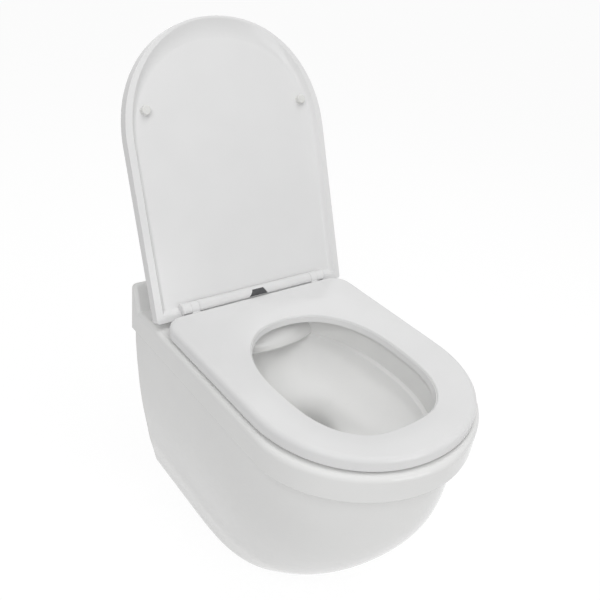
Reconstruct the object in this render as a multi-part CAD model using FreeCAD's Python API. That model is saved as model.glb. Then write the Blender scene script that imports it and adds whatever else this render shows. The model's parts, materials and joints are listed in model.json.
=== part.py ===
"""Wall-hung toilet with a quick-release soft-close seat and lid.

Frame: millimetres, +X across the pan, +Y into the wall (the wall face is y = 0),
+Z up. The origin is half way between the two wall bolts, on the wall face.
Heights named *_H are measured from the top of the rim; rim() turns them into z.
The lid is built closed and then turned to the open stop, where it rests.
"""
import FreeCAD
import Part

import math
import os

V = FreeCAD.Vector

# ---------------------------------------------------------------- driving sizes
OVERCUT = 1.0               # cutting tools run this far past the surface they leave by
TOLERANCE = 1e-3            # an edge this close to a plane lies in it
RUNNING = 0.05              # round clearance of pieces that turn in each other
SEATED = 0.02               # and of pieces that are pressed together

# wall connections
RIM_Z = 80.0                # rim top above the wall bolts
BOLT_SPACING = 180.0        # between the two M12 wall bolts
BOLT_BORE_R = 6.5
INLET_Z = 35.0              # flush pipe centre above the bolts
INLET_BORE_R = 27.5
INLET_BORE_DEPTH = 38.0
OUTLET_Z = -100.0           # waste centre below the bolts
OUTLET_SPIGOT_R = 51.0
OUTLET_SPIGOT_LENGTH = 40.0
OUTLET_SETBACK = 2.0        # spigot end stops short of the wall face
OUTLET_FLARE = 16.0         # length over which the trap widens to the spigot

# outside of the pan
PAN_HALF = 182.0
PAN_FRONT = 515.0           # wall to the front of the rim band
PAN_NOSE = 155.0            # length of the rounded front
BAND_HEIGHT = 42.0
BAND_TOP_ROUND = 8.0
BAND_FOOT_ROUND = 2.5
BODY_HALF = 175.0           # body just under the band
BODY_FRONT = 509.0
BODY_DEPTH = 369.0          # rim top to the underside
BODY_OVERLAP = 8.0
BODY_TOP_DEPTH = BAND_HEIGHT - BODY_OVERLAP    # hidden inside the band
SIDE_DRAFT = 48.0           # each side leans in by this much on the way down
SIDE_DRAFT_POWER = 1.83
FRONT_DRAFT_POWER = 2.25
HEEL_FRONT = 325.0          # where the flat underside ends
HEEL_SHOULDER = 140.0       # where its sides start to curve in
BODY_SHOULDER = 339.0
KEEL_ROUND = 12.0           # drawn in at the bottom edge
KEEL_SHARE = 0.93
BODY_STATIONS = 9
NOSE_POWER_BAND = 1.88      # superellipse powers of the rounded front
NOSE_POWER_TOP = 1.55
NOSE_POWER_FOOT = 2.9
SHELL_WALL = 9.0
SHELL_OPEN = 20.0           # the hollow runs out through the back by this much
BAND_FLOOR = 4.0            # china under the hollow of the band
DECK_THICKNESS = 14.0
REAR_PLATE = 12.0           # ceramic behind the wall face
REAR_PLATE_FOOT_H = -118.0

# upstand along the wall
UPSTAND_HEIGHT = 41.0
UPSTAND_FOOT_DEPTH = 21.0
UPSTAND_TOP_DEPTH = 8.0
UPSTAND_ROUND = 6.5

# bowl
BOWL_HALF = 118.0
BOWL_REAR = 128.0
BOWL_MID = 300.0
BOWL_FRONT = 468.0
BOWL_WALL_DEPTH = 36.5      # upright wall under the rim
BOWL_LIP_ROUND = 6.0
SHELF_INSET = 5.0           # ledge that the flush water runs along
SHELF_DROP = 5.0
SHELF_OVERCUT = 2.0         # the ledge's cut ends inside the open funnel
SUMP_DEPTH = 276.0
SUMP_HALF = 31.0
SUMP_REAR = 222.0
SUMP_FRONT = 280.0
MOUTH_DEPTH = 128.0         # where the bowl turns down into the sump
MOUTH_SHARE = 0.1           # how much wider the sump is there
MOUTH_BLEND = 0.1
BOWL_CURVE = 1.6            # 1 is a straight funnel, more is rounder
BOWL_STATIONS = 13
BOWL_WALL = 9.0

# flush outlet nose at the back of the bowl
NOSE_TOP_REACH = 8.0
NOSE_FOOT_REACH = 36.0
NOSE_DEPTH = 38.0
NOSE_FOOT_ROUND = 4.0
NOSE_STATIONS = 4
NOSE_ABOVE_RIM = 2.0        # the nose's tool starts this far above the rim
NOSE_SIDE_LAP = 4.0         # and reaches this far into the walls of the bowl
NOSE_BACK_LAP = 10.0
CHAMBER_HALF = 55.0
CHAMBER_REAR = 96.0
CHAMBER_FRONT = 137.0
CHAMBER_TOP_H = -15.0
CHAMBER_DROP = 10.0         # below the upright wall of the bowl
CHAMBER_FLOOR = 12.0
CHAMBER_LAP = 2.0           # its walls reach this far into the bowl's opening
NECK_SHORT = 8.0            # the inlet's neck stops this far behind the front of the chamber
INLET_TUBE_R = 36.0
INLET_NECK_R = 20.0
RESTRICTOR_SEAT_R = 25.0
RESTRICTOR_SEAT_LENGTH = 8.0
RESTRICTOR_RING = 5.0
RESTRICTOR_BAR = 3.0
RESTRICTOR_BAR_HALF = 1.0
RESTRICTOR_HUB_R = 8.0
RESTRICTOR_HUB = 4.0

# trap
TRAP_BORE_R = 26.0
TRAP_WALL = 8.0
TRAP_BEND_R = 36.0
TRAP_ROUTE = ((-240.0, -246.0), (-150.0, -246.0), (-105.0, -144.0))   # y, height
TRAP_TAIL_Y = -50.0

# seat
SEAT_GAP = 4.0              # seat underside above the rim
SEAT_THICKNESS = 19.0
SEAT_HALF = 175.0
SEAT_REAR = 87.6
SEAT_FRONT = 504.0
SEAT_NOSE = 175.0
SEAT_POWER = 2.1
SEAT_CORNER = 32.0
SEAT_TOP_ROUND = 7.0
HOLE_HALF = 111.5           # at the underside
HOLE_REAR = 161.4
HOLE_MID = 297.5
HOLE_FRONT = 442.7
HOLE_REAR_POWER = 2.25
HOLE_FRONT_POWER = 2.78
HOLE_FLARE = 2.5            # the hole is this much wider at the top
HOLE_TOP_ROUND = 3.5
HOLE_ROUND_STATIONS = 5
DISH_DEPTH = 7.5            # the top falls by this much towards the hole
DISH_REACH = 44.0
DISH_POWER = 1.7
DISH_STATIONS = 6
SEAT_RECESS = 7.0           # hollow underside
SEAT_RIB = 9.0
HOLE_RIB = 11.0
SEAT_BUMPER_R = 8.0
SEAT_BUMPER_ROUND = 2.0
SEAT_BUMPER_CLEAR = 0.3     # above the rim
REAR_BUMPER_INSET = 33.0    # from the side of the seat
REAR_BUMPER_BACK = 92.5     # from the middle of the hole towards the wall
FRONT_BUMPER_INSET = 23.5   # from the side of the hole
FRONT_BUMPER_BACK = 58.0    # from the front of the seat
EAR_NECK_DROP = 0.6         # below the seat's top

# lid
LID_HALF = 180.5
LID_NOSE = 181.0
LID_FRONT = 512.5
LID_LIP_H = 24.5
LID_HEIGHT = 21.5
LID_BEHIND_AXIS = 13.2
LID_CORNER = 4.0
LID_TOP_ROUND = 6.0
LID_SIDE_LIP = 11.0         # flat rim round the recess
LID_FRONT_LIP = 3.0
LID_RECESS = 7.5
LID_SIDE_COVE = 8.0         # the recess sweeps up to the lip over this width
LID_FRONT_COVE = 27.0
LID_COVE_POWER = 1.7
LID_COVE_STATIONS = 6
LID_SKIN = 3.5              # the lid is moulded hollow
LID_EDGE_SKIN = 8.0
LID_OPEN_DEG = 113.0
LID_BUMPER_X = 142.0
LID_BUMPER_REACH = 301.0    # from the hinge axis
LID_BUMPER_R = 7.3
LID_BUMPER_ROUND = LID_BUMPER_R / 3
LID_BUMPER_CLEAR = 0.3      # above the seat, with the lid down

# hinge
AXIS_Y = -79.6
AXIS_H = 25.0
BARREL_R = 9.7
BAR_HALF = 110.0
BAR_FOOT_HALF = 8.6
BAR_FOOT_H = 6.3
BAR_SPLIT_H = 20.0          # cover above, housing below
COVER_WALL = 1.6
COVER_FIT = 0.2             # between the cover and the housing inside it
EAR_IN = 110.5
EAR_OUT = 123.7
KNUCKLE_IN = 124.0
KNUCKLE_OUT = 139.0
KNUCKLE_ROUND = 2.0
KNUCKLE_WEB = 12.0
POCKET_CLEAR = 0.9
POCKET_SIDE_CLEAR = 0.8
LID_CHANNEL_R = 11.2
LID_NOTCH = 3.0             # lid skin behind the axis, between the knuckles
PIN_R = 3.0
PIN_INNER = 97.0
PIN_OUTER = 136.0
PIN_TIP_CLEAR = 0.1
PIN_END_CLEAR = 0.5
BUSH_R = 5.0

# posts and what holds them
POST_SPACING = 155.0
POST_SHANK_R = 4.0
POST_SHAFT_R = 5.0
POST_NECK_R = 3.2
POST_FLANGE_R = 8.0
POST_FOOT_H = -40.0
POST_FLANGE_CLEAR = 0.1     # above the rosette
POST_BAR_CLEAR = 0.3        # below the bar
POST_TIP = 1.0
POST_HEAD_CHAMFER = 1.2
NECK_H = 11.0
HEAD_H = 13.2
HEAD_TOP_H = 16.2
SOCKET_CLEAR = 0.08
SOCKET_HEADROOM = 0.3
HINGE_HOLE_R = 7.5
HINGE_BOSS_R = 16.0
HINGE_BOSS_DEPTH = 26.0
WASHER_R = 15.0
WASHER_THICKNESS = 2.0
WASHER_CLEAR = 0.3
ROSETTE_R = 16.0
ROSETTE_THICKNESS = 1.6
ROSETTE_ROUND = 0.96
NUT_R = 7.3
NUT_BULGE_R = 9.5
NUT_FOOT_H = -38.0
NUT_FOOT_R = 6.3
NUT_FOOT_TAPER = 4.0
NUT_SHOULDER = 2.5

# dampers
DAMPER_R = 7.2
DAMPER_WALL = 1.6
DAMPER_INNER = 40.0
DAMPER_OUTER = 108.0
DAMPER_END = 2.0            # wall at each end of the tube
DAMPER_CLEAR = 0.2
ROTOR_R = 5.55
ROTOR_INNER = 44.0
ROTOR_VANES = 2
ROTOR_HUB = 4.0
ROTOR_VANE_HALF = 2.6
ROTOR_SOCKET_WALL = 6.0
FLAT_DEPTH = 0.8
FLAT_SHORT = 1.5            # the pin's flat stops this far inside the tube's end

# release
LATCH_THICKNESS = 1.8
LATCH_HALF = 7.0
LATCH_OUT = 92.0
LATCH_CLEAR = 0.2
LATCH_TRAVEL = 3.0
LATCH_GAP_HALF = 0.5        # half the gap between the two plates
WEDGE_CLEAR = 0.3           # between a plate and the button's wedge
KEYHOLE_CLEAR = 0.3
SPRING_R = 2.5
SPRING_WIRE_R = 0.35
SPRING_TURNS = 5
SPRING_CLEAR = 0.05
SPRING_SIDE_CLEAR = 0.5
CHANNEL_END = 102.4
POCKET_HALF = 27.0
POCKET_DEPTH = 7.4
BUTTON_FOOT_HALF = 17.5
BUTTON_TOP_HALF = 10.5
BUTTON_LOW = -1.0           # from the hinge axis
BUTTON_HIGH = 8.0
BUTTON_PROUD = 0.5
BUTTON_BACK = -4.0
BUTTON_CLEAR = 0.3
BUTTON_RIBS = 4
GROOVE_HALF = 0.4
GROOVE_DEPTH = 0.5
GROOVE_FOOT = 1.0           # above the hinge axis
WEDGE_TIP = 2.6             # point of the button's wedge, behind the hinge axis
STEM_FRONT = 6.0            # stem of the button, in front of the hinge axis
STEM_THICKNESS = 2.6
STEM_HALF = 6.0
STEM_TOP = 2.0              # above the hinge axis
BUTTON_SPRING_UP = 1.0
WEDGE_FRONT_CLEAR = 0.2
SCREW_X = 23.0
SCREW_R = 1.5
SCREW_HEAD_R = 2.8
SCREW_HEAD = 2.0
SCREW_CLEAR = 0.1
SCREW_SLOT_CLEAR = 0.4
SCREW_BOSS_R = 3.2
SCREW_BOSS_FOOT = 2.0       # below the hinge axis
SCREW_TIP = 4.0             # above the hinge axis

# wall fixings
BUSH_BODY_R = 9.5
BUSH_FLANGE_R = 15.0
BUSH_FLANGE = 3.0
BRACKET_SIZE = 26.0
BRACKET_ROUND = 3.0
BRACKET_BACK_Y = -REAR_PLATE - BUSH_FLANGE
CLAMP_SCREW_R = 4.0
CLAMP_SCREW_LENGTH = 36.0
CLAMP_SCREW_CLEAR = 0.3     # to the wall bolt
CLAMP_HEAD_R = 6.4
CLAMP_HEAD = 8.0
CLAMP_SOCKET_R = 3.0
CLAMP_SOCKET_DEPTH = 5.0


# ---------------------------------------------------------------- small helpers
def rim(height):
    """Frame z of a height measured from the top of the rim."""
    return RIM_Z + height


AXIS_Z = rim(AXIS_H)
BOLT_X = BOLT_SPACING / 2
POST_X = POST_SPACING / 2
BAR_FRONT_Y = AXIS_Y - BARREL_R - OVERCUT      # in front of the whole bar
X_AXIS = V(1, 0, 0)
Y_AXIS = V(0, 1, 0)
Z_AXIS = V(0, 0, 1)


def box(x0, x1, y0, y1, z0, z1):
    return Part.makeBox(x1 - x0, y1 - y0, z1 - z0, V(x0, y0, z0))


def rod(radius, start, end):
    span = end - start
    return Part.makeCylinder(radius, span.Length, start, span)


def x_rod(radius, x0, x1, y=AXIS_Y, z=AXIS_Z):
    return rod(radius, V(x0, y, z), V(x1, y, z))


def y_rod(radius, y0, y1, x, z):
    return rod(radius, V(x, y0, z), V(x, y1, z))


def z_rod(radius, z0, z1, x, y):
    return rod(radius, V(x, y, z0), V(x, y, z1))


def turned(profile, x, y):
    """Revolve a closed (radius, z) profile about the vertical through x, y."""
    points = [V(x + r, y, z) for r, z in profile]
    face = Part.Face(Part.makePolygon(points + points[:1]))
    return face.revolve(V(x, y, 0), Z_AXIS, 360)


def prism(points, direction):
    return Part.Face(Part.makePolygon(points + points[:1])).extrude(direction)


def mirrored(shape):
    return shape.mirror(V(0, 0, 0), X_AXIS)


def both_sides(shape):
    return Part.makeCompound([shape, mirrored(shape)])


def power_arc(half, depth, shoulder_y, power, z, points=12):
    """Superelliptic arc from (+half, shoulder_y) round to (-half, shoulder_y).

    A positive depth bulges towards the wall, a negative one to the front.
    """
    places = []
    for i in range(points + 1):
        turn = math.pi * i / points
        c, s = math.cos(turn), math.sin(turn)
        x = math.copysign(half * abs(c) ** (2.0 / power), c)
        places.append(V(x, shoulder_y + depth * abs(s) ** (2.0 / power), z))
    curve = Part.BSplineCurve()
    curve.interpolate(Points=places, Parameters=[i / points for i in range(points + 1)])
    return curve.toShape()


def d_wire(half, rear_y, front_y, nose, power, z):
    """D outline: straight back and sides, rounded front."""
    shoulder_y = front_y + nose
    front = power_arc(half, -nose, shoulder_y, power, z)
    corners = [V(-half, shoulder_y, z), V(-half, rear_y, z), V(half, rear_y, z), V(half, shoulder_y, z)]
    sides = [Part.makeLine(corners[i], corners[i + 1]) for i in range(3)]
    return Part.Wire([front] + sides)


def oval_wire(half, rear_y, mid_y, front_y, z, rear_power=2.4, front_power=2.15):
    """Closed oval, squarer at the back than at the front."""
    front = power_arc(half, front_y - mid_y, mid_y, front_power, z)
    rear = power_arc(half, rear_y - mid_y, mid_y, rear_power, z)
    return Part.Wire([front, rear])


def block_of(wire, height):
    return Part.Face(wire).extrude(V(0, 0, height))


def level_edges(shape, z):
    """Edges that lie at height z."""
    return [edge for edge in shape.Edges
            if abs(edge.BoundBox.ZMin - z) < TOLERANCE and abs(edge.BoundBox.ZMax - z) < TOLERANCE]


def end_edges(shape, x):
    """Edges that lie in the plane across x."""
    return [edge for edge in shape.Edges
            if abs(edge.BoundBox.XMin - x) < TOLERANCE and abs(edge.BoundBox.XMax - x) < TOLERANCE]


def upright_edges(shape):
    return [edge for edge in shape.Edges
            if edge.BoundBox.XLength < TOLERANCE and edge.BoundBox.YLength < TOLERANCE]


def middle(edge):
    return edge.valueAt((edge.FirstParameter + edge.LastParameter) / 2)


def behind(edges, y):
    """Those edges whose middle is nearer to the wall than y."""
    return [edge for edge in edges if middle(edge).y > y]


def in_front_of(edges, y):
    return [edge for edge in edges if middle(edge).y < y]


def on_side(side, near, far):
    """Range of x from near to far, on the left for -1 and on the right for 1."""
    return sorted((side * near, side * far))


def route_wire(points, bend_r):
    """Straight runs joined by tangent arcs."""
    edges = []
    start = points[0]
    for before, corner, after in zip(points, points[1:], points[2:]):
        back = (before - corner).normalize()
        ahead = (after - corner).normalize()
        half_turn = (math.pi - back.getAngle(ahead)) / 2
        tangent = bend_r * math.tan(half_turn)
        first = corner + back * tangent
        last = corner + ahead * tangent
        bisector = (back + ahead).normalize()
        middle = corner + bisector * (bend_r / math.cos(half_turn) - bend_r)
        edges.append(Part.makeLine(start, first))
        edges.append(Part.Arc(first, middle, last).toShape())
        start = last
    edges.append(Part.makeLine(start, points[-1]))
    return Part.Wire(edges)


def tube_along(wire, radius):
    start = wire.OrderedVertexes[0].Point
    ahead = wire.OrderedEdges[0].tangentAt(wire.OrderedEdges[0].FirstParameter)
    ring = Part.Wire(Part.makeCircle(radius, start, ahead))
    return wire.makePipeShell([ring], True, False)


def coil(radius, wire_r, length, turns, foot, direction):
    """Compression spring: one unbroken helical wire along direction from foot."""
    height = length - 2 * wire_r
    helix = Part.Wire(Part.makeHelix(height / turns, height, radius - wire_r))
    ring = Part.Wire(Part.makeCircle(wire_r, V(radius - wire_r, 0, 0), Y_AXIS))
    spring = helix.makePipeShell([ring], True, True)
    spring.translate(V(0, 0, wire_r))
    placement = FreeCAD.Placement(foot, FreeCAD.Rotation(Z_AXIS, direction))
    return spring.transformGeometry(placement.toMatrix())


# ---------------------------------------------------------------- pan
def body_share(depth):
    """0 just under the band, 1 at the underside."""
    return max(0.0, (depth - BAND_HEIGHT) / (BODY_DEPTH - BAND_HEIGHT))


def body_wire(depth, inset=0.0, rear_y=0.0):
    """Outline of the pan at a depth below the rim top."""
    share = body_share(depth)
    half = BODY_HALF - SIDE_DRAFT * share ** SIDE_DRAFT_POWER
    keel = max(0.0, (share - KEEL_SHARE) / (1 - KEEL_SHARE))
    half -= KEEL_ROUND * (1 - math.sqrt(max(0.0, 1 - keel * keel)))
    front = HEEL_FRONT + (BODY_FRONT - HEEL_FRONT) * (1 - share ** FRONT_DRAFT_POWER)
    shoulder = BODY_SHOULDER + (HEEL_SHOULDER - BODY_SHOULDER) * share
    power = NOSE_POWER_TOP + (NOSE_POWER_FOOT - NOSE_POWER_TOP) * share
    nose = front - shoulder - inset
    return d_wire(half - inset, rear_y, -(front - inset), nose, power, rim(-depth))


def body_depths(top, bottom, count):
    """Stations that crowd towards the underside, where the form turns fastest."""
    depths = []
    for i in range(count):
        turn = math.pi / 2 * i / (count - 1)
        depths.append(top + (bottom - top) * math.sin(turn))
    return depths


def band_block():
    foot = rim(-BAND_HEIGHT)
    wire = d_wire(PAN_HALF, 0, -PAN_FRONT, PAN_NOSE, NOSE_POWER_BAND, foot)
    band = block_of(wire, BAND_HEIGHT)
    band = band.makeFillet(BAND_TOP_ROUND, in_front_of(level_edges(band, rim(0)), -OVERCUT))
    return band.makeFillet(BAND_FOOT_ROUND, in_front_of(level_edges(band, foot), -OVERCUT))


def upstand_block():
    foot = rim(-BAND_HEIGHT / 2)
    top = rim(UPSTAND_HEIGHT)
    profile = [
        V(-PAN_HALF, 0, foot),
        V(-PAN_HALF, -UPSTAND_FOOT_DEPTH, foot),
        V(-PAN_HALF, -UPSTAND_FOOT_DEPTH, rim(0)),
        V(-PAN_HALF, -UPSTAND_TOP_DEPTH, top),
        V(-PAN_HALF, 0, top),
    ]
    block = prism(profile, V(2 * PAN_HALF, 0, 0))
    rounded = behind(level_edges(block, top), -UPSTAND_TOP_DEPTH - TOLERANCE)
    rounded = in_front_of(rounded, -UPSTAND_TOP_DEPTH + TOLERANCE)
    for x in (-PAN_HALF, PAN_HALF):
        for edge in in_front_of(end_edges(block, x), -OVERCUT):
            if middle(edge).z > rim(OVERCUT):
                rounded.append(edge)
    return block.makeFillet(UPSTAND_ROUND, rounded)


def bowl_spread(depth):
    """1 at the ledge, falling in a curve to the mouth of the sump and gently to 0 at its bottom."""
    down = min(depth, SUMP_DEPTH)
    bowl = 1 - ((down - BOWL_WALL_DEPTH) / (MOUTH_DEPTH - BOWL_WALL_DEPTH)) ** BOWL_CURVE
    sump = MOUTH_SHARE * (SUMP_DEPTH - down) / (SUMP_DEPTH - MOUTH_DEPTH)
    return (bowl + sump + math.hypot(bowl - sump, MOUTH_BLEND)) / 2


def bowl_wire(depth, grow=0.0):
    """Oval of the bowl at a depth below the rim top."""
    spread = bowl_spread(depth)
    half = SUMP_HALF + (BOWL_HALF - SHELF_INSET - SUMP_HALF) * spread
    rear = SUMP_REAR + (BOWL_REAR - SUMP_REAR) * spread
    front = SUMP_FRONT + (BOWL_FRONT - SHELF_INSET - SUMP_FRONT) * spread
    mid = (SUMP_REAR + SUMP_FRONT) / 2 * (1 - spread) + BOWL_MID * spread
    return oval_wire(half + grow, -(rear - grow), -mid, -(front + grow), rim(-depth))


def bowl_funnel(grow, bottom):
    depths = [BOWL_WALL_DEPTH + (bottom - BOWL_WALL_DEPTH) * i / (BOWL_STATIONS - 1)
              for i in range(BOWL_STATIONS)]
    return Part.makeLoft([bowl_wire(depth, grow) for depth in depths], True, False)


def bowl_collar(grow, top_h, bottom_h):
    """Upright wall of the bowl under the rim."""
    wire = oval_wire(BOWL_HALF + grow, -(BOWL_REAR - grow), -BOWL_MID, -(BOWL_FRONT + grow), rim(bottom_h))
    return block_of(wire, top_h - bottom_h)


def shelf_cut():
    """Sloping ledge from the upright wall down to the funnel."""
    outer = oval_wire(BOWL_HALF, -BOWL_REAR, -BOWL_MID, -BOWL_FRONT, rim(-BOWL_WALL_DEPTH))
    inner = bowl_wire(BOWL_WALL_DEPTH + SHELF_DROP, -SHELF_OVERCUT)
    return Part.makeLoft([outer, inner], True, True)


def flush_nose():
    """Bulging lip at the back of the bowl that hides the flush outlet."""
    half = BOWL_HALF + NOSE_SIDE_LAP
    side_y = -BOWL_REAR
    back_y = side_y + NOSE_BACK_LAP
    levels = []
    for i in range(NOSE_STATIONS):
        share = i / (NOSE_STATIONS - 1)
        reach = NOSE_TOP_REACH + (NOSE_FOOT_REACH - NOSE_TOP_REACH) * math.sin(share * math.pi / 2)
        z = rim(NOSE_ABOVE_RIM - (NOSE_DEPTH + NOSE_ABOVE_RIM) * share)
        right = V(half, side_y, z)
        left = V(-half, side_y, z)
        back_left = V(-half, back_y, z)
        back_right = V(half, back_y, z)
        levels.append(Part.Wire([
            Part.Arc(right, V(0, side_y - reach, z), left).toShape(),
            Part.makeLine(left, back_left),
            Part.makeLine(back_left, back_right),
            Part.makeLine(back_right, right),
        ]))
    nose = Part.makeLoft(levels, True, False)
    foot = in_front_of(level_edges(nose, rim(-NOSE_DEPTH)), side_y - OVERCUT)
    return nose.makeFillet(NOSE_FOOT_ROUND, foot)


def trap_wire():
    points = [V(0, y, rim(height)) for y, height in TRAP_ROUTE]
    points += [V(0, TRAP_TAIL_Y, OUTLET_Z), V(0, -OUTLET_SETBACK, OUTLET_Z)]
    return route_wire(points, TRAP_BEND_R)


def y_cone(y0, r0, y1, r1, z):
    return Part.makeCone(r0, r1, y1 - y0, V(0, y0, z), Y_AXIS)


def outlet_shape(grow):
    """Flare from the trap to the waste spigot; grow is the ceramic wall."""
    spigot_y = -OUTLET_SETBACK - OUTLET_SPIGOT_LENGTH
    spigot_r = OUTLET_SPIGOT_R - TRAP_WALL + grow
    cone = y_cone(spigot_y - OUTLET_FLARE, TRAP_BORE_R + grow, spigot_y, spigot_r, OUTLET_Z)
    end_y = -OUTLET_SETBACK if grow else 0.0
    return cone.fuse(y_rod(spigot_r, spigot_y, end_y, 0, OUTLET_Z))


def pan_shell():
    """Outside of the pan, hollowed and open at the back."""
    depths = body_depths(BODY_TOP_DEPTH, BODY_DEPTH, BODY_STATIONS)
    body = Part.makeLoft([body_wire(depth) for depth in depths], True, False)
    outer = band_block().fuse([body, upstand_block()])

    depths = body_depths(BODY_TOP_DEPTH, BODY_DEPTH - SHELL_WALL, BODY_STATIONS - 1)
    hollow = Part.makeLoft([body_wire(depth, SHELL_WALL, SHELL_OPEN) for depth in depths], True, False)
    band_wire = d_wire(PAN_HALF - SHELL_WALL, SHELL_OPEN, -(PAN_FRONT - SHELL_WALL), PAN_NOSE - SHELL_WALL,
                       NOSE_POWER_BAND, rim(BAND_FLOOR - BAND_HEIGHT))
    hollow = hollow.fuse(block_of(band_wire, BAND_HEIGHT - BAND_FLOOR - DECK_THICKNESS))

    in_deck = rim(-DECK_THICKNESS / 2)
    plate = box(-PAN_HALF, PAN_HALF, -REAR_PLATE, 0, rim(REAR_PLATE_FOOT_H), in_deck)
    return outer.cut(hollow), plate.common(outer)


def bowl_lip(shape):
    """Edges of the rim's top that go round the bowl."""
    found = []
    for edge in level_edges(shape, rim(0)):
        place = middle(edge)
        if abs(place.x) < BOWL_HALF + OVERCUT and -BOWL_FRONT - OVERCUT < place.y < AXIS_Y - HINGE_BOSS_R:
            found.append(edge)
    return found


def pan():
    shell, plate = pan_shell()
    in_deck = rim(-DECK_THICKNESS / 2)
    chamber_foot = rim(-BOWL_WALL_DEPTH - CHAMBER_DROP)
    trap = trap_wire()
    shell = shell.fuse([
        plate,
        both_sides(z_rod(HINGE_BOSS_R, rim(-HINGE_BOSS_DEPTH), in_deck, POST_X, AXIS_Y)),
        bowl_collar(BOWL_WALL, -DECK_THICKNESS / 2, -BOWL_WALL_DEPTH - SHELF_DROP),
        bowl_funnel(BOWL_WALL, SUMP_DEPTH + BOWL_WALL),
        tube_along(trap, TRAP_BORE_R + TRAP_WALL),
        outlet_shape(TRAP_WALL),
        box(-CHAMBER_HALF - BOWL_WALL, CHAMBER_HALF + BOWL_WALL, -BOWL_REAR - CHAMBER_LAP,
            -CHAMBER_REAR + BOWL_WALL, chamber_foot - CHAMBER_FLOOR, in_deck),
        y_rod(INLET_TUBE_R, -CHAMBER_REAR, 0, 0, INLET_Z),
    ])

    opening = bowl_collar(0, NOSE_ABOVE_RIM + OVERCUT, -BOWL_WALL_DEPTH).cut(flush_nose())
    seat_end = -INLET_BORE_DEPTH - RESTRICTOR_SEAT_LENGTH
    cuts = [
        opening,
        shelf_cut(),
        bowl_funnel(0, SUMP_DEPTH),
        tube_along(trap, TRAP_BORE_R),
        outlet_shape(0),
        y_rod(INLET_BORE_R, -INLET_BORE_DEPTH, OVERCUT, 0, INLET_Z),
        y_rod(RESTRICTOR_SEAT_R, seat_end, 0, 0, INLET_Z),
        y_rod(INLET_NECK_R, -CHAMBER_FRONT + NECK_SHORT, 0, 0, INLET_Z),
        box(-CHAMBER_HALF, CHAMBER_HALF, -CHAMBER_FRONT, -CHAMBER_REAR, chamber_foot, rim(CHAMBER_TOP_H)),
        both_sides(z_rod(HINGE_HOLE_R, rim(-HINGE_BOSS_DEPTH - OVERCUT), rim(OVERCUT), POST_X, AXIS_Y)),
        both_sides(y_rod(BUSH_BODY_R + SEATED, -REAR_PLATE - OVERCUT, OVERCUT, BOLT_X, 0)),
    ]
    for tool in cuts:
        shell = shell.cut(tool)
    return shell.makeFillet(BOWL_LIP_ROUND, bowl_lip(shell)).removeSplitter()


def flow_restrictor():
    """Plastic ring with a cross, pressed into the step of the flush inlet."""
    y0 = -INLET_BORE_DEPTH - RESTRICTOR_SEAT_LENGTH
    y1 = -INLET_BORE_DEPTH
    ring_r = RESTRICTOR_SEAT_R - RUNNING
    bore_r = ring_r - RESTRICTOR_RING
    ring = y_rod(ring_r, y0, y1, 0, INLET_Z).cut(y_rod(bore_r, y0 - OVERCUT, y1 + OVERCUT, 0, INLET_Z))
    reach = ring_r - RESTRICTOR_RING / 2
    half = RESTRICTOR_BAR_HALF
    return ring.fuse([
        box(-reach, reach, y0, y0 + RESTRICTOR_BAR, INLET_Z - half, INLET_Z + half),
        box(-half, half, y0, y0 + RESTRICTOR_BAR, INLET_Z - reach, INLET_Z + reach),
        y_rod(RESTRICTOR_HUB_R, y0, y0 + RESTRICTOR_HUB, 0, INLET_Z),
    ])


# ---------------------------------------------------------------- wall fixings
def fixing_bushes():
    bush = y_rod(BUSH_BODY_R, -REAR_PLATE, 0, BOLT_X, 0)
    bush = bush.fuse(y_rod(BUSH_FLANGE_R, BRACKET_BACK_Y, -REAR_PLATE, BOLT_X, 0))
    return both_sides(bush.cut(y_rod(BOLT_BORE_R, BRACKET_BACK_Y - OVERCUT, OVERCUT, BOLT_X, 0)))


def clamp_line():
    """Axis of the clamp screw: from the middle of the bracket towards the hinge hole."""
    seat = V(BOLT_X, BRACKET_BACK_Y - BRACKET_SIZE / 2, 0)
    hole = V(POST_X, AXIS_Y, rim(-HINGE_BOSS_DEPTH))
    return seat, (hole - seat).normalize()


def fixing_brackets():
    half = BRACKET_SIZE / 2
    front_y = BRACKET_BACK_Y - BRACKET_SIZE
    block = box(BOLT_X - half, BOLT_X + half, front_y, BRACKET_BACK_Y, -half, half)
    along = [edge for edge in block.Edges if edge.BoundBox.YLength > half]
    block = block.makeFillet(BRACKET_ROUND, along)
    bore = y_rod(BOLT_BORE_R, front_y - OVERCUT, BRACKET_BACK_Y + OVERCUT, BOLT_X, 0)
    seat, way = clamp_line()
    tapped = rod(CLAMP_SCREW_R + SEATED, seat + way * (BOLT_BORE_R - OVERCUT), seat + way * BRACKET_SIZE)
    return both_sides(block.cut(bore).cut(tapped))


def fixing_clamp_screws():
    """Each screw ends where its lowest corner just clears the bolt."""
    seat, way = clamp_line()
    corner = CLAMP_SCREW_R * math.sqrt(1 - way.z ** 2)
    start = seat + way * ((BOLT_BORE_R + CLAMP_SCREW_CLEAR + corner) / way.z)
    neck = start + way * CLAMP_SCREW_LENGTH
    end = neck + way * CLAMP_HEAD
    screw = rod(CLAMP_SCREW_R, start, neck).fuse(rod(CLAMP_HEAD_R, neck, end))
    return both_sides(screw.cut(rod(CLAMP_SOCKET_R, end - way * CLAMP_SOCKET_DEPTH, end + way * OVERCUT)))


# ---------------------------------------------------------------- hinge posts
def hinge_washers():
    top = rim(WASHER_THICKNESS)
    ring = z_rod(WASHER_R, rim(0), top, POST_X, AXIS_Y)
    return both_sides(ring.cut(z_rod(POST_SHANK_R + WASHER_CLEAR, rim(-OVERCUT), top + OVERCUT, POST_X, AXIS_Y)))


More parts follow.
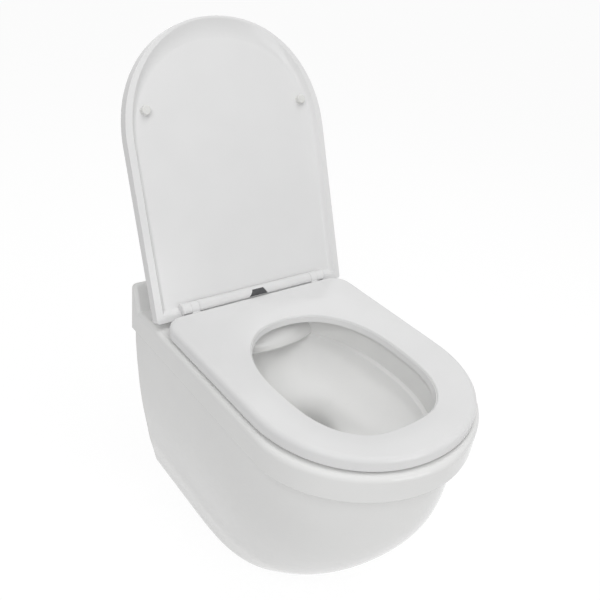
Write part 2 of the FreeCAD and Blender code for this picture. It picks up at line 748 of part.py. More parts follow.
def hinge_rosettes():
    low = rim(WASHER_THICKNESS)
    top = low + ROSETTE_THICKNESS
    disc = z_rod(ROSETTE_R, low, top, POST_X, AXIS_Y)
    disc = disc.makeFillet(ROSETTE_ROUND, level_edges(disc, top))
    return both_sides(disc.cut(z_rod(POST_SHANK_R + RUNNING, low - OVERCUT, top + OVERCUT, POST_X, AXIS_Y)))


def expansion_nuts():
    """Rubber-sleeved nut, swollen under the deck."""
    low = rim(NUT_FOOT_H)
    swell = rim(-HINGE_BOSS_DEPTH)
    bore = POST_SHANK_R + RUNNING
    profile = [(bore, low), (NUT_FOOT_R, low), (NUT_BULGE_R, low + NUT_FOOT_TAPER),
               (NUT_BULGE_R, swell - NUT_SHOULDER), (NUT_R, swell), (NUT_R, rim(0)), (bore, rim(0))]
    return both_sides(turned(profile, POST_X, AXIS_Y))


def hinge_post():
    foot = rim(POST_FOOT_H)
    flange = rim(WASHER_THICKNESS + ROSETTE_THICKNESS + POST_FLANGE_CLEAR)
    bar_foot = rim(BAR_FOOT_H) - POST_BAR_CLEAR
    head_top = rim(HEAD_TOP_H)
    profile = [
        (0, foot), (POST_SHANK_R - POST_TIP, foot), (POST_SHANK_R, foot + POST_TIP), (POST_SHANK_R, flange),
        (POST_FLANGE_R, flange), (POST_FLANGE_R, bar_foot), (POST_SHAFT_R, bar_foot),
        (POST_SHAFT_R, rim(NECK_H)), (POST_NECK_R, rim(NECK_H)), (POST_NECK_R, rim(HEAD_H)),
        (POST_SHAFT_R, rim(HEAD_H)), (POST_SHAFT_R, head_top - POST_HEAD_CHAMFER),
        (POST_SHAFT_R - POST_HEAD_CHAMFER, head_top), (0, head_top),
    ]
    return turned(profile, POST_X, AXIS_Y)


# ---------------------------------------------------------------- hinge bar
def latch_level():
    low = rim((NECK_H + HEAD_H) / 2) - LATCH_THICKNESS / 2
    return low, low + LATCH_THICKNESS


def button_block(grow, y0, y1):
    """Trapezoid seen from the front, run along y; grow widens it all round."""
    low = AXIS_Z + BUTTON_LOW - grow
    high = AXIS_Z + BUTTON_HIGH + grow
    foot = BUTTON_FOOT_HALF + grow
    top = BUTTON_TOP_HALF + grow
    face = [V(-foot, y0, low), V(foot, y0, low), V(top, y0, high), V(-top, y0, high)]
    return prism(face, V(0, y1 - y0, 0))


def hinge_bar_housing():
    low, high = latch_level()
    foot_z = rim(BAR_FOOT_H)
    end = BAR_HALF - COVER_WALL - COVER_FIT
    core = x_rod(BARREL_R - COVER_WALL - COVER_FIT, -end, end)
    core = core.common(box(-end, end, BAR_FRONT_Y, AXIS_Y + BARREL_R, foot_z, AXIS_Z))
    housing = box(-BAR_HALF, BAR_HALF, AXIS_Y - BAR_FOOT_HALF, AXIS_Y + BAR_FOOT_HALF,
                  foot_z, rim(BAR_SPLIT_H)).fuse(core)
    cuts = []
    for side in (-1, 1):
        x0, x1 = on_side(side, DAMPER_INNER - DAMPER_CLEAR, DAMPER_OUTER)
        cuts.append(x_rod(DAMPER_R + RUNNING, x0, x1))
        x0, x1 = on_side(side, DAMPER_OUTER - OVERCUT, BAR_HALF + OVERCUT)
        cuts.append(x_rod(PIN_R + RUNNING, x0, x1))
        cuts.append(z_rod(POST_SHAFT_R + SOCKET_CLEAR, foot_z - OVERCUT, rim(HEAD_TOP_H) + SOCKET_HEADROOM,
                          side * POST_X, AXIS_Y))
        x = side * SCREW_X
        cuts.append(z_rod(SCREW_R + SCREW_CLEAR, foot_z - OVERCUT, rim(BAR_SPLIT_H), x, AXIS_Y))
        cuts.append(z_rod(SCREW_HEAD_R + SCREW_CLEAR, foot_z - OVERCUT, foot_z + SCREW_HEAD + 2 * SCREW_CLEAR,
                          x, AXIS_Y))
    half = LATCH_HALF + LATCH_CLEAR
    cuts.append(box(-CHANNEL_END, CHANNEL_END, AXIS_Y - half, AXIS_Y + half, low - LATCH_CLEAR, high + LATCH_CLEAR))
    half = SPRING_R + SPRING_SIDE_CLEAR
    up = SPRING_R + LATCH_CLEAR
    centre = (low + high) / 2
    cuts.append(both_sides(box(LATCH_OUT, CHANNEL_END, AXIS_Y - half, AXIS_Y + half, centre - up, centre + up)))
    cuts.append(box(-POCKET_HALF, POCKET_HALF, AXIS_Y - POCKET_DEPTH, AXIS_Y + POCKET_DEPTH,
                    low - LATCH_CLEAR, AXIS_Z + OVERCUT))
    cuts.append(button_block(BUTTON_CLEAR, BAR_FRONT_Y, AXIS_Y))
    for tool in cuts:
        housing = housing.cut(tool)
    return housing.removeSplitter()


def hinge_bar_cover():
    reach = BARREL_R + OVERCUT
    end = BAR_HALF - COVER_WALL
    shell = x_rod(BARREL_R, -BAR_HALF, BAR_HALF).cut(x_rod(BARREL_R - COVER_WALL, -end, end))
    cover = shell.common(box(-BAR_HALF, BAR_HALF, AXIS_Y - reach, AXIS_Y + reach, rim(BAR_SPLIT_H), AXIS_Z + reach))
    for side in (-1, 1):
        x0, x1 = on_side(side, end - OVERCUT, BAR_HALF + OVERCUT)
        cover = cover.cut(x_rod(PIN_R + RUNNING, x0, x1))
        x = side * SCREW_X
        foot = AXIS_Z - SCREW_BOSS_FOOT
        boss = z_rod(SCREW_BOSS_R, foot, AXIS_Z + BARREL_R - COVER_WALL / 2, x, AXIS_Y)
        tapped = z_rod(SCREW_R + SEATED, foot - OVERCUT, AXIS_Z + SCREW_TIP + OVERCUT, x, AXIS_Y)
        cover = cover.fuse(boss).cut(tapped)
    return cover.cut(button_block(BUTTON_CLEAR, BAR_FRONT_Y, AXIS_Y)).removeSplitter()


def hinge_bar_screws():
    low = rim(BAR_FOOT_H) + SCREW_CLEAR
    neck = low + SCREW_HEAD
    head = z_rod(SCREW_HEAD_R, low, neck, SCREW_X, AXIS_Y)
    return both_sides(head.fuse(z_rod(SCREW_R, neck, AXIS_Z + SCREW_TIP, SCREW_X, AXIS_Y)))


def damper_case():
    """Closed tube of the right-hand soft-close cartridge."""
    case = x_rod(DAMPER_R, DAMPER_INNER, DAMPER_OUTER)
    inner_end = DAMPER_OUTER - DAMPER_END
    bore = x_rod(DAMPER_R - DAMPER_WALL, DAMPER_INNER + DAMPER_END, inner_end)
    return case.cut(bore).cut(x_rod(PIN_R + RUNNING, inner_end - OVERCUT, DAMPER_OUTER + OVERCUT))


def pin_flat(x0, x1):
    """Material taken off a pin, or left in a socket, to make its drive flat."""
    reach = PIN_R + OVERCUT
    return box(x0, x1, AXIS_Y - reach, AXIS_Y + reach, AXIS_Z + PIN_R - FLAT_DEPTH, AXIS_Z + reach)


def damper_rotor():
    """Rotor with a hub, vanes and a D socket that takes the hinge pin."""
    out = DAMPER_OUTER - DAMPER_END - DAMPER_CLEAR
    vane_x = ROTOR_INNER + ROTOR_HUB
    socket_x = PIN_INNER - ROTOR_SOCKET_WALL
    vanes = []
    for i in range(ROTOR_VANES):
        vane = box(vane_x, socket_x, AXIS_Y, AXIS_Y + ROTOR_R + OVERCUT,
                   AXIS_Z - ROTOR_VANE_HALF, AXIS_Z + ROTOR_VANE_HALF)
        vane.rotate(V(0, AXIS_Y, AXIS_Z), X_AXIS, 360 * i / ROTOR_VANES)
        vanes.append(vane.common(x_rod(ROTOR_R, vane_x, socket_x)))
    rotor = x_rod(ROTOR_R, ROTOR_INNER, vane_x).fuse([x_rod(ROTOR_R, socket_x, out)] + vanes)
    socket = x_rod(PIN_R + SEATED, PIN_INNER - PIN_END_CLEAR, out + OVERCUT)
    return rotor.cut(socket.cut(pin_flat(PIN_INNER - OVERCUT, out + 2 * OVERCUT))).removeSplitter()


def hinge_pin():
    pin = x_rod(PIN_R, PIN_INNER, PIN_OUTER)
    drive = pin_flat(PIN_INNER - OVERCUT, DAMPER_OUTER - FLAT_SHORT)
    return pin.cut(drive.translate(V(0, 0, -SEATED)))


# ---------------------------------------------------------------- release
def wedge_half(y):
    """Half width of the button's wedge at y, with the button at rest."""
    return max(0.0, AXIS_Y + WEDGE_TIP - y)


def latch():
    """Right-hand keyhole plate that holds the post by its neck."""
    low, high = latch_level()
    front = AXIS_Y - LATCH_HALF
    back = AXIS_Y + LATCH_HALF
    wedge_end = AXIS_Y + WEDGE_TIP - (LATCH_GAP_HALF - WEDGE_CLEAR)
    outline = [
        V(wedge_half(front) + WEDGE_CLEAR, front, low), V(LATCH_OUT, front, low), V(LATCH_OUT, back, low),
        V(LATCH_GAP_HALF, back, low), V(LATCH_GAP_HALF, wedge_end, low),
    ]
    plate = prism(outline, V(0, 0, LATCH_THICKNESS))
    under = low - OVERCUT
    over = high + OVERCUT
    slot_half = POST_NECK_R + LATCH_CLEAR
    wide_x = POST_X - LATCH_TRAVEL
    plate = plate.cut([
        z_rod(slot_half, under, over, POST_X, AXIS_Y),
        box(wide_x, POST_X, AXIS_Y - slot_half, AXIS_Y + slot_half, under, over),
        z_rod(POST_SHAFT_R + KEYHOLE_CLEAR, under, over, wide_x, AXIS_Y),
    ])
    screw_half = SCREW_R + SCREW_SLOT_CLEAR
    slot_x = SCREW_X - LATCH_TRAVEL
    return plate.cut([
        z_rod(screw_half, under, over, SCREW_X, AXIS_Y),
        box(slot_x, SCREW_X, AXIS_Y - screw_half, AXIS_Y + screw_half, under, over),
        z_rod(screw_half, under, over, slot_x, AXIS_Y),
    ])


def latch_spring():
    low, high = latch_level()
    foot = V(LATCH_OUT + SPRING_CLEAR, AXIS_Y, (low + high) / 2)
    length = CHANNEL_END - LATCH_OUT - 2 * SPRING_CLEAR
    return coil(SPRING_R, SPRING_WIRE_R, length, SPRING_TURNS, foot, X_AXIS)


def release_button():
    low, high = latch_level()
    foot = BUTTON_FOOT_HALF
    face_r = BARREL_R + BUTTON_PROUD
    back_y = AXIS_Y + BUTTON_BACK
    cap = button_block(0, BAR_FRONT_Y, back_y).common(x_rod(face_r, -foot, foot))
    pitch = 2 * BUTTON_TOP_HALF / BUTTON_RIBS
    for i in range(BUTTON_RIBS):
        x = -BUTTON_TOP_HALF + pitch * (i + 0.5)
        groove = box(x - GROOVE_HALF, x + GROOVE_HALF, BAR_FRONT_Y, back_y,
                     AXIS_Z + GROOVE_FOOT, AXIS_Z + BUTTON_HIGH + OVERCUT)
        cap = cap.cut(groove.cut(x_rod(face_r - GROOVE_DEPTH, -foot, foot)))
    stem_front = AXIS_Y - STEM_FRONT
    stem = box(-STEM_HALF, STEM_HALF, stem_front, stem_front + STEM_THICKNESS, low, AXIS_Z + STEM_TOP)
    front = AXIS_Y - POCKET_DEPTH + WEDGE_FRONT_CLEAR
    half = wedge_half(front)
    wedge = prism([V(-half, front, low), V(half, front, low), V(0, AXIS_Y + WEDGE_TIP, low)],
                  V(0, 0, LATCH_THICKNESS))
    return cap.fuse([stem, wedge]).removeSplitter()


def button_spring():
    stem_back = STEM_THICKNESS - STEM_FRONT
    foot = V(0, AXIS_Y + stem_back + SPRING_CLEAR, AXIS_Z + BUTTON_SPRING_UP)
    length = POCKET_DEPTH - stem_back - 2 * SPRING_CLEAR
    return coil(SPRING_R, SPRING_WIRE_R, length, SPRING_TURNS, foot, Y_AXIS)


# ---------------------------------------------------------------- seat
def hole_wire(grow, z):
    """Outline of the seat's hole, grown all round."""
    return oval_wire(HOLE_HALF + grow, -HOLE_REAR + grow, -HOLE_MID, -HOLE_FRONT - grow, z,
                     HOLE_REAR_POWER, HOLE_FRONT_POWER)


def dish_z(top, out):
    """Height of the dished top; out is 0 at the hole and 1 where the dish ends."""
    return top - DISH_DEPTH * (1 - out) ** DISH_POWER


def seat_hollow(low):
    """Recess in the underside, between the outer rib and the rib round the hole."""
    rear = -SEAT_REAR - 2 * SEAT_RIB
    outer = d_wire(SEAT_HALF - SEAT_RIB, rear, -SEAT_FRONT + SEAT_RIB, SEAT_NOSE - SEAT_RIB, SEAT_POWER,
                   low - OVERCUT)
    hollow = block_of(outer, SEAT_RECESS + OVERCUT)
    hollow = hollow.makeFillet(SEAT_CORNER - SEAT_RIB, behind(upright_edges(hollow), rear - OVERCUT))
    return hollow.cut(block_of(hole_wire(HOLE_RIB, low - 2 * OVERCUT), SEAT_RECESS + 4 * OVERCUT))


def seat_hole(low, top):
    """Tools that dish the top towards the hole, cut the hole and round its upper edge."""
    dish = []
    for i in range(DISH_STATIONS):
        out = i / (DISH_STATIONS - 1)
        dish.append(hole_wire(HOLE_FLARE + DISH_REACH * out, dish_z(top, out)))
    lip = dish_z(top, HOLE_TOP_ROUND / DISH_REACH)
    rounding = []
    for i in range(HOLE_ROUND_STATIONS):
        turn = math.pi / 2 * i / (HOLE_ROUND_STATIONS - 1)
        out = HOLE_FLARE + HOLE_TOP_ROUND * (1 - math.cos(turn))
        rounding.append(hole_wire(out, lip - HOLE_TOP_ROUND * (1 - math.sin(turn))))
    return [
        Part.makeLoft(dish, True, False),
        Part.makeLoft([hole_wire(0, low), hole_wire(HOLE_FLARE, lip)], True, True),
        Part.makeLoft(rounding, True, False),
    ]


def seat_ring():
    low = rim(SEAT_GAP)
    top = low + SEAT_THICKNESS
    outline = d_wire(SEAT_HALF, -SEAT_REAR, -SEAT_FRONT, SEAT_NOSE, SEAT_POWER, low)
    ring = block_of(outline, SEAT_THICKNESS)
    ring = ring.makeFillet(SEAT_CORNER, behind(upright_edges(ring), -SEAT_REAR - OVERCUT))
    ring = ring.makeFillet(SEAT_TOP_ROUND, level_edges(ring, top))
    for tool in [seat_hollow(low)] + seat_hole(low, top):
        ring = ring.cut(tool)

    pocket_y = AXIS_Y - BARREL_R - POCKET_CLEAR
    reach = KNUCKLE_OUT + POCKET_SIDE_CLEAR
    ring = ring.cut(box(-reach, reach, pocket_y, 0, low - OVERCUT, top + OVERCUT))
    for side in (-1, 1):
        x0, x1 = on_side(side, EAR_IN, EAR_OUT)
        neck = box(x0, x1, pocket_y - OVERCUT, AXIS_Y, AXIS_Z - BARREL_R, top - EAR_NECK_DROP)
        ring = ring.fuse([x_rod(BARREL_R, x0, x1), neck])
    x0, x1 = EAR_IN - OVERCUT, EAR_OUT + OVERCUT
    ring = ring.cut(x_rod(PIN_R + SEATED, x0, x1)).cut(x_rod(BUSH_R + SEATED, -x1, -x0))
    return ring.removeSplitter()


def seat_bumpers():
    """Two pads beside the hole and two in front of it, seated in the hollow underside."""
    low = rim(SEAT_BUMPER_CLEAR)
    seated = rim(SEAT_GAP + SEAT_RECESS)
    places = ((SEAT_HALF - REAR_BUMPER_INSET, REAR_BUMPER_BACK - HOLE_MID),
              (HOLE_HALF - FRONT_BUMPER_INSET, FRONT_BUMPER_BACK - SEAT_FRONT))
    pads = []
    for x, y in places:
        pad = z_rod(SEAT_BUMPER_R, low, seated, x, y)
        pads.append(both_sides(pad.makeFillet(SEAT_BUMPER_ROUND, level_edges(pad, low))))
    return Part.makeCompound(pads)


def seat_ear_bush():
    """Bearing in the left ear, in which the lid's pin turns."""
    bush = x_rod(BUSH_R, -EAR_OUT, -EAR_IN)
    return bush.cut(x_rod(PIN_R + RUNNING, -EAR_OUT - OVERCUT, -EAR_IN + OVERCUT))


# ---------------------------------------------------------------- lid
def lid_outline(side_inset, front_inset, z):
    rear_y = AXIS_Y + LID_BEHIND_AXIS - side_inset
    front_y = -LID_FRONT + front_inset
    return d_wire(LID_HALF - side_inset, rear_y, front_y, LID_NOSE - front_inset, SEAT_POWER, z)


def lid_recess():
    """Shallow tray in the underside, with a wide cove at the front."""
    levels = []
    for i in range(LID_COVE_STATIONS):
        sweep = i / (LID_COVE_STATIONS - 1)
        side = LID_SIDE_LIP + LID_SIDE_COVE * sweep
        front = LID_FRONT_LIP + LID_FRONT_COVE * sweep
        rise = 1 - (1 - sweep) ** LID_COVE_POWER
        levels.append(lid_outline(side, front, rim(LID_LIP_H) + LID_RECESS * rise))
    return Part.makeLoft(levels, True, False)


def opened(shape):
    """Turn a closed-lid shape about the hinge axis to the open stop."""
    shape.rotate(V(0, AXIS_Y, AXIS_Z), V(-1, 0, 0), LID_OPEN_DEG)
    return shape


def lid_void(floor_z, ceiling_z):
    """Closed hollow between the skins of the lid, in front of the hinge."""
    front_y = AXIS_Y - LID_CHANNEL_R - LID_SKIN
    void = block_of(lid_outline(LID_EDGE_SKIN, LID_EDGE_SKIN, floor_z), ceiling_z - floor_z)
    return void.cut(box(-LID_HALF, LID_HALF, front_y, 0, floor_z - OVERCUT, ceiling_z + OVERCUT))


def lid():
    lip = rim(LID_LIP_H)
    top = lip + LID_HEIGHT
    void_floor = lip + LID_RECESS + LID_SKIN
    cap = block_of(lid_outline(0, 0, lip), LID_HEIGHT)
    cap = cap.makeFillet(LID_CORNER, behind(upright_edges(cap), AXIS_Y))
    cap = cap.makeFillet(LID_TOP_ROUND, level_edges(cap, top))
    cap = cap.cut(lid_recess()).cut(lid_void(void_floor, top - LID_SKIN))
    cap = cap.cut(box(-KNUCKLE_IN, KNUCKLE_IN, AXIS_Y + LID_NOTCH, 0, lip - OVERCUT, top + OVERCUT))
    cap = cap.cut(x_rod(LID_CHANNEL_R, -KNUCKLE_IN, KNUCKLE_IN))
    for side in (-1, 1):
        x0, x1 = on_side(side, KNUCKLE_IN, KNUCKLE_OUT)
        barrel = x_rod(BARREL_R, x0, x1)
        barrel = barrel.makeFillet(KNUCKLE_ROUND, end_edges(barrel, side * KNUCKLE_OUT))
        web = box(x0, x1, AXIS_Y - KNUCKLE_WEB / 2, AXIS_Y + KNUCKLE_WEB / 2, AXIS_Z, void_floor)
        cap = cap.fuse([barrel, web])
    x0, x1 = KNUCKLE_IN - OVERCUT, PIN_OUTER + PIN_TIP_CLEAR
    cap = cap.cut(x_rod(PIN_R + SEATED, -x1, -x0)).cut(x_rod(BUSH_R + SEATED, x0, x1))
    return opened(cap.removeSplitter())


def lid_bumpers():
    """Domed stubs that stand on the floor of the recess."""
    r = LID_BUMPER_R
    x, y = LID_BUMPER_X, AXIS_Y - LID_BUMPER_REACH
    lip = rim(LID_LIP_H)
    low = rim(SEAT_GAP) + SEAT_THICKNESS + LID_BUMPER_CLEAR
    pad = z_rod(r, low, lip + LID_RECESS, x, y)
    pad = pad.makeFillet(LID_BUMPER_ROUND, level_edges(pad, low))
    above_lip = box(x - r, x + r, y - r, y + r, lip, lip + LID_RECESS)
    return opened(both_sides(pad.cut(above_lip.cut(lid_recess()))))


def lid_knuckle_bush():
    """Bearing in the lid's right knuckle, in which the seat's pin turns."""
    bush = x_rod(BUSH_R, KNUCKLE_IN, PIN_OUTER + PIN_TIP_CLEAR)
    return bush.cut(x_rod(PIN_R + RUNNING, KNUCKLE_IN - OVERCUT, PIN_OUTER + PIN_TIP_CLEAR + OVERCUT))


# ---------------------------------------------------------------- write the nodes
NODES = {
    "pan": pan,
    "flow_restrictor": flow_restrictor,
    "fixing_bushes": fixing_bushes,
    "fixing_brackets": fixing_brackets,
    "fixing_clamp_screws": fixing_clamp_screws,
    "hinge_washers": hinge_washers,
    "hinge_rosettes": hinge_rosettes,
    "expansion_nuts": expansion_nuts,
    "right_hinge_post": hinge_post,
    "hinge_bar_housing": hinge_bar_housing,
    "hinge_bar_cover": hinge_bar_cover,
    "hinge_bar_screws": hinge_bar_screws,
    "seat_damper_case": damper_case,
    "seat_damper_rotor": damper_rotor,
    "right_latch": latch,
    "right_latch_spring": latch_spring,
    "release_button": release_button,
    "button_spring": button_spring,
    "seat_ring": seat_ring,
    "seat_bumpers": seat_bumpers,
    "seat_hinge_pin": hinge_pin,
    "seat_ear_bush": seat_ear_bush,
    "lid": lid,
    "lid_bumpers": lid_bumpers,
    "lid_knuckle_bush": lid_knuckle_bush,
}
LEFT_HAND = {
    "left_hinge_post": "right_hinge_post",
    "lid_damper_case": "seat_damper_case",
    "lid_damper_rotor": "seat_damper_rotor",
    "left_latch": "right_latch",
    "left_latch_spring": "right_latch_spring",
    "lid_hinge_pin": "seat_hinge_pin",
}

os.makedirs("parts", exist_ok=True)
shapes = {name: make() for name, make in NODES.items()}
for left, right in LEFT_HAND.items():
    shapes[left] = mirrored(shapes[right])
for name, shape in shapes.items():
    shape.exportStep("parts/" + name + ".step")
    print(name, "solids", len(shape.Solids), "valid", shape.isValid(), "volume", round(shape.Volume))
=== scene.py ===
import json
import math

import bpy
from mathutils import Matrix, Vector

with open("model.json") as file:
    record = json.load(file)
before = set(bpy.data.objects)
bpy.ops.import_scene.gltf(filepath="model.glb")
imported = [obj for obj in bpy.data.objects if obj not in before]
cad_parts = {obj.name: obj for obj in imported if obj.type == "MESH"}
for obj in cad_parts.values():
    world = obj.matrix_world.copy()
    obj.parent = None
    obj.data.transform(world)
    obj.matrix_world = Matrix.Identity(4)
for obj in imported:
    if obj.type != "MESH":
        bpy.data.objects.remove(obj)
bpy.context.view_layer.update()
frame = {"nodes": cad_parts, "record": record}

# Every form of this toilet is a CAD node. The scene gives each node its finish, and adds a
# white studio and the photograph's camera.

# ---------------------------------------------------------------- named values, in metres
MM = 0.001
WHITE = "#FFFFFF"

# camera, from the fit to the photograph's outlines
CAMERA_AT = Vector((-0.6075, -0.8930, 0.6838))
CAMERA_AZIMUTH = math.radians(-40.98)
CAMERA_ELEVATION = math.radians(29.95)
CAMERA_ROLL = math.radians(8.015)
CAMERA_LENS_MM = 42.31

# studio
FLOOR_Z = -0.33             # rim 0.41 m above the floor
FLOOR_SIZE = 40.0
FLOOR_COLOUR = "#F4F4F4"
FLOOR_GLOW = 0.85           # share of the floor that is plain white; the rest takes the shadow
FLOOR_WHITE = 1.08          # makes up for that rest, which is a little darker than white
AMBIENT = 0.34              # strength of the surround where it only lights the object
LAMP_TARGET = Vector((0.0, -0.28, 0.05))    # mouth of the bowl

# finishes
DRIFT_FROM = 0.35           # where a drift between two colours begins and ends,
DRIFT_TO = 0.65             # on a cloud that runs from 0 to 1
UNGLAZED_DEPTH = 0.6 * MM   # the wall face and this much of its edge carry no glaze
MARKS_PER_CLOUD = 6         # polishing marks on metal are finer than its clouds by this much
MARK_HEIGHT = 0.002 * MM


# ---------------------------------------------------------------- small helpers
def linear(hex_colour):
    """Scene-linear RGBA of an sRGB colour written as "#RRGGBB"."""
    channels = [int(hex_colour[i:i + 2], 16) / 255 for i in (1, 3, 5)]
    curved = [c / 12.92 if c <= 0.04045 else ((c + 0.055) / 1.055) ** 2.4 for c in channels]
    return (*curved, 1.0)


def feed(node, inputs):
    """Set a node's inputs. Each is a plain value, or an output socket to link from."""
    for name, value in inputs.items():
        if isinstance(value, bpy.types.NodeSocket):
            node.id_data.links.new(value, node.inputs[name])
        else:
            node.inputs[name].default_value = value


def add(tree, kind, inputs=None, **settings):
    """Add a node with its settings and links."""
    node = tree.nodes.new(kind)
    for name, value in settings.items():
        setattr(node, name, value)
    feed(node, inputs or {})
    return node


def new_material(name):
    """(material, node tree, principled shader) of a fresh material."""
    material = bpy.data.materials.new(name)
    material.use_nodes = True
    tree = material.node_tree
    return material, tree, tree.nodes["Principled BSDF"]


def cloud(tree, grain):
    """Soft unevenness from 0 to 1, in patches about grain metres across, fixed to the object."""
    place = add(tree, "ShaderNodeTexCoord").outputs["Object"]
    noise = add(tree, "ShaderNodeTexNoise", {"Vector": place, "Scale": 1 / grain})
    return noise.outputs["Fac"]


def relief(tree, grain, height, below=None):
    """Bump of a real height in metres, on top of another bump if one is given."""
    inputs = {"Height": cloud(tree, grain), "Distance": height}
    if below:
        inputs["Normal"] = below
    return add(tree, "ShaderNodeBump", inputs).outputs["Normal"]


def two_tone(tree, grain, first, second):
    """Colour that drifts between two hex colours over patches of grain metres."""
    ramp = add(tree, "ShaderNodeValToRGB", {"Fac": cloud(tree, grain)})
    low, high = ramp.color_ramp.elements
    low.position, low.color = DRIFT_FROM, linear(first)
    high.position, high.color = DRIFT_TO, linear(second)
    return ramp.outputs["Color"]


# ---------------------------------------------------------------- finishes
# Waves and orange peel have their real size. Grain and polishing marks are under 0.1 mm on the
# real pieces, too fine to show, so they are drawn 0.25 to 0.6 mm across.
def glazed_vitreous_china():
    """Cast vitreous china, dipped in a thick clear glaze and fired: deep gloss whose reflections
    waver over 45 mm waves and fine orange peel. The wall face stays bare, warm and matt."""
    material, tree, shader = new_material("glazed_vitreous_china")
    place = add(tree, "ShaderNodeTexCoord").outputs["Object"]
    depth = add(tree, "ShaderNodeSeparateXYZ", {"Vector": place}).outputs["Y"]
    bare = add(tree, "ShaderNodeMath", {0: depth, 1: -UNGLAZED_DEPTH},
               operation="GREATER_THAN").outputs["Value"]
    glaze = two_tone(tree, 140 * MM, "#F0F0EF", "#EDEDEC")
    clay = two_tone(tree, 3 * MM, "#DAD5CB", "#E4E0D8")
    colour = add(tree, "ShaderNodeMix", {"Factor": bare, "A": glaze, "B": clay}, data_type="RGBA")
    rough = add(tree, "ShaderNodeMapRange", {"Value": bare, "To Min": 0.06, "To Max": 0.75})
    waves = relief(tree, 45 * MM, 0.05 * MM)
    feed(shader, {
        "Base Color": colour.outputs["Result"],
        "Roughness": rough.outputs["Result"],
        "Normal": relief(tree, 1.6 * MM, 0.0015 * MM, below=waves),
        "IOR": 1.52,
    })
    return material


def pressed_thermoset():
    """Thermoset of seat and lid, pressed in a polished mould: hard white gloss, a little softer
    than the glaze, with fine orange peel and faint flow marks about 30 mm apart."""
    material, tree, shader = new_material("pressed_thermoset")
    rough = add(tree, "ShaderNodeMapRange", {"Value": cloud(tree, 30 * MM), "To Min": 0.14,
                                             "To Max": 0.20})
    waves = relief(tree, 60 * MM, 0.04 * MM)
    feed(shader, {
        "Base Color": two_tone(tree, 90 * MM, "#EBEBEB", "#E9E9E9"),
        "Roughness": rough.outputs["Result"],
        "Normal": relief(tree, 0.8 * MM, 0.0012 * MM, below=waves),
    })
    return material


def moulded_polypropylene():
    """White polypropylene of the hinge bar, moulded in a tool with a fine satin."""
    material, tree, shader = new_material("moulded_polypropylene")
    feed(shader, {
        "Base Color": two_tone(tree, 25 * MM, "#E8E8E8", "#E5E5E5"),
        "Normal": relief(tree, 0.5 * MM, 0.003 * MM),
        "Roughness": 0.28,
    })
    return material


def eroded_polypropylene():
    """Dark grey polypropylene of the button, with the even matt of a spark-eroded mould."""
    material, tree, shader = new_material("eroded_polypropylene")
    feed(shader, {
        "Base Color": two_tone(tree, 4 * MM, "#4A4B4D", "#525355"),
        "Normal": relief(tree, 0.25 * MM, 0.01 * MM),
        "Roughness": 0.42,
    })
    return material


def natural_acetal():
    """Uncoloured moulded acetal of bushes, cartridges and brackets: slightly waxy, and yellower
    than the seat."""
    material, tree, shader = new_material("natural_acetal")
    feed(shader, {
        "Base Color": two_tone(tree, 12 * MM, "#D6D5CF", "#DCDBD5"),
        "Normal": relief(tree, 0.6 * MM, 0.006 * MM),
        "Roughness": 0.4,
        "Subsurface Weight": 0.1,
        "Subsurface Radius": (1.5 * MM, 1.3 * MM, 1.1 * MM),
    })
    return material


def milky_elastomer():
    """Soft moulded elastomer of the bumpers: half matt, and lets a little light through its
    edge."""
    material, tree, shader = new_material("milky_elastomer")
    feed(shader, {
        "Base Color": two_tone(tree, 5 * MM, "#E9E9E7", "#E3E3E0"),
        "Normal": relief(tree, 0.4 * MM, 0.008 * MM),
        "Roughness": 0.45,
        "Subsurface Weight": 0.2,
        "Subsurface Radius": (2 * MM, 2 * MM, 1.8 * MM),
    })
    return material


def sealing_rubber():
    """Grey-white moulded rubber of washers and nuts, with a dusty matt."""
    material, tree, shader = new_material("sealing_rubber")
    feed(shader, {
        "Base Color": two_tone(tree, 3 * MM, "#BFBEBA", "#C9C8C4"),
        "Normal": relief(tree, 0.3 * MM, 0.012 * MM),
        "Roughness": 0.7,
    })
    return material


def metal(name, first, second, roughness, grain):
    """Bare metal whose colour clouds over patches of grain metres, under fine marks."""
    material, tree, shader = new_material(name)
    feed(shader, {
        "Base Color": two_tone(tree, grain, first, second),
        "Metallic": 1.0,
        "Roughness": roughness,
        "Normal": relief(tree, grain / MARKS_PER_CLOUD, MARK_HEIGHT),
    })
    return material


def polished_stainless():
    """Turned and polished stainless steel of posts, pins, latches and springs: warm and sharp."""
    return metal("polished_stainless", "#C9C8C5", "#BDBCB8", roughness=0.22, grain=2.5 * MM)


def bright_zinc():
    """Bright zinc plating on steel screws: paler, slightly blue, and cloudier than stainless."""
    return metal("bright_zinc", "#CDD0D2", "#BEC2C6", roughness=0.34, grain=1.8 * MM)


# the record's material slots, and what each is made of
FINISHES = {
    "glazed_china": glazed_vitreous_china,
    "seat_plastic": pressed_thermoset,
    "hinge_plastic": moulded_polypropylene,
    "button_plastic": eroded_polypropylene,
    "inner_plastic": natural_acetal,
    "bumper_rubber": milky_elastomer,
    "washer_rubber": sealing_rubber,
    "stainless": polished_stainless,
    "zinc_steel": bright_zinc,
}


def dress_nodes():
    """Give each CAD node the finish of its slot in the record."""
    made = {slot: make() for slot, make in FINISHES.items()}
    for part in frame["record"]["subparts"]:
        node = frame["nodes"][part["node"]]
        for slot in node.material_slots:
            slot.material = made[part["material_slot"]]


# ---------------------------------------------------------------- studio
def shown(tree, share):
    """share for rays that show the surround itself, and 0 for those that only carry its light."""
    path = add(tree, "ShaderNodeLightPath").outputs
    seen = path["Is Camera Ray"]
    for kind in ("Is Glossy Ray", "Is Transmission Ray"):
        seen = add(tree, "ShaderNodeMath", {0: seen, 1: path[kind]},
                   operation="MAXIMUM").outputs["Value"]
    return add(tree, "ShaderNodeMath", {0: seen, 1: share}, operation="MULTIPLY").outputs["Value"]


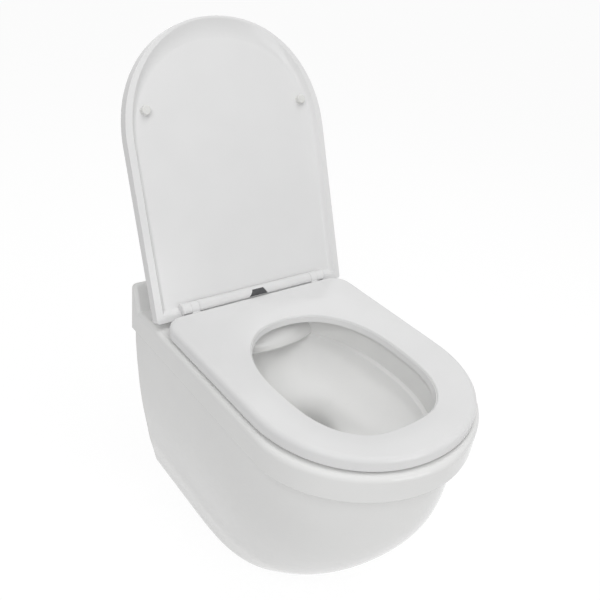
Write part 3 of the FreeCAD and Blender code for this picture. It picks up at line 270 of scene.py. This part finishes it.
def surround():
    """White where it is seen or mirrored, and a weaker even light everywhere else."""
    world = bpy.data.worlds.new("studio_surround")
    bpy.context.scene.world = world
    world.use_nodes = True
    tree = world.node_tree
    level = add(tree, "ShaderNodeMapRange", {"Value": shown(tree, 1.0), "To Min": AMBIENT,
                                             "To Max": 1.0})
    feed(tree.nodes["Background"], {"Color": linear(WHITE), "Strength": level.outputs["Result"]})


def floor():
    """Plain pale floor that shows as a white sweep with a faint shadow."""
    half = FLOOR_SIZE / 2
    corners = [(-half, -half, FLOOR_Z), (half, -half, FLOOR_Z),
               (half, half, FLOOR_Z), (-half, half, FLOOR_Z)]
    mesh = bpy.data.meshes.new("floor")
    mesh.from_pydata(corners, [], [(0, 1, 2, 3)])
    plane = bpy.data.objects.new("floor", mesh)
    bpy.context.scene.collection.objects.link(plane)
    material = bpy.data.materials.new("floor_white")
    material.use_nodes = True
    tree = material.node_tree
    tree.nodes.clear()
    matt = add(tree, "ShaderNodeBsdfDiffuse", {"Color": linear(FLOOR_COLOUR)})
    glow = add(tree, "ShaderNodeEmission", {"Color": linear(WHITE), "Strength": FLOOR_WHITE})
    both = add(tree, "ShaderNodeMixShader", {0: shown(tree, FLOOR_GLOW), 1: matt.outputs["BSDF"],
                                             2: glow.outputs["Emission"]})
    add(tree, "ShaderNodeOutputMaterial", {"Surface": both.outputs["Shader"]})
    mesh.materials.append(material)


def lamp(name, at, size, watts, mirrored):
    """Square soft box at a place, facing the object. mirrored: the glaze shows its reflection."""
    light = bpy.data.lights.new(name, "AREA")
    light.shape = "SQUARE"
    light.size = size
    light.energy = watts
    holder = bpy.data.objects.new(name, light)
    holder.location = at
    holder.rotation_euler = (LAMP_TARGET - Vector(at)).to_track_quat("-Z", "Y").to_euler()
    holder.visible_camera = False
    holder.visible_glossy = mirrored
    bpy.context.scene.collection.objects.link(holder)


def lamps():
    """Key from the upper left and a soft top light, neither of which streaks the bowl with its
    reflection, then a weak fill from the front and one from behind."""
    lamp("left_key", at=(-1.5, -1.3, 1.8), size=1.2, watts=18.3, mirrored=False)
    lamp("top", at=(0.2, -0.6, 2.2), size=1.4, watts=13.5, mirrored=False)
    lamp("front_fill", at=(0.35, -2.1, 0.35), size=0.9, watts=4.5, mirrored=True)
    lamp("back_right", at=(1.3, 0.7, 1.7), size=1.6, watts=3.0, mirrored=True)


def camera():
    """The photograph's camera: its place and lens, and its three angles as axes."""
    back = Vector((math.sin(CAMERA_AZIMUTH) * math.cos(CAMERA_ELEVATION),
                   -math.cos(CAMERA_AZIMUTH) * math.cos(CAMERA_ELEVATION),
                   math.sin(CAMERA_ELEVATION)))
    right = (-back).cross(Vector((0, 0, 1))).normalized()
    up = back.cross(right)
    turned_right = right * math.cos(CAMERA_ROLL) + up * math.sin(CAMERA_ROLL)
    turned_up = up * math.cos(CAMERA_ROLL) - right * math.sin(CAMERA_ROLL)
    lens = bpy.data.cameras.new("camera")
    lens.lens = CAMERA_LENS_MM
    holder = bpy.data.objects.new("camera", lens)
    turn = Matrix((turned_right, turned_up, back)).transposed()
    holder.matrix_world = Matrix.Translation(CAMERA_AT) @ turn.to_4x4()
    bpy.context.scene.collection.objects.link(holder)
    bpy.context.scene.camera = holder


# ---------------------------------------------------------------- the scene
dress_nodes()
surround()
floor()
lamps()
camera()
bpy.context.scene.view_settings.view_transform = "Standard"
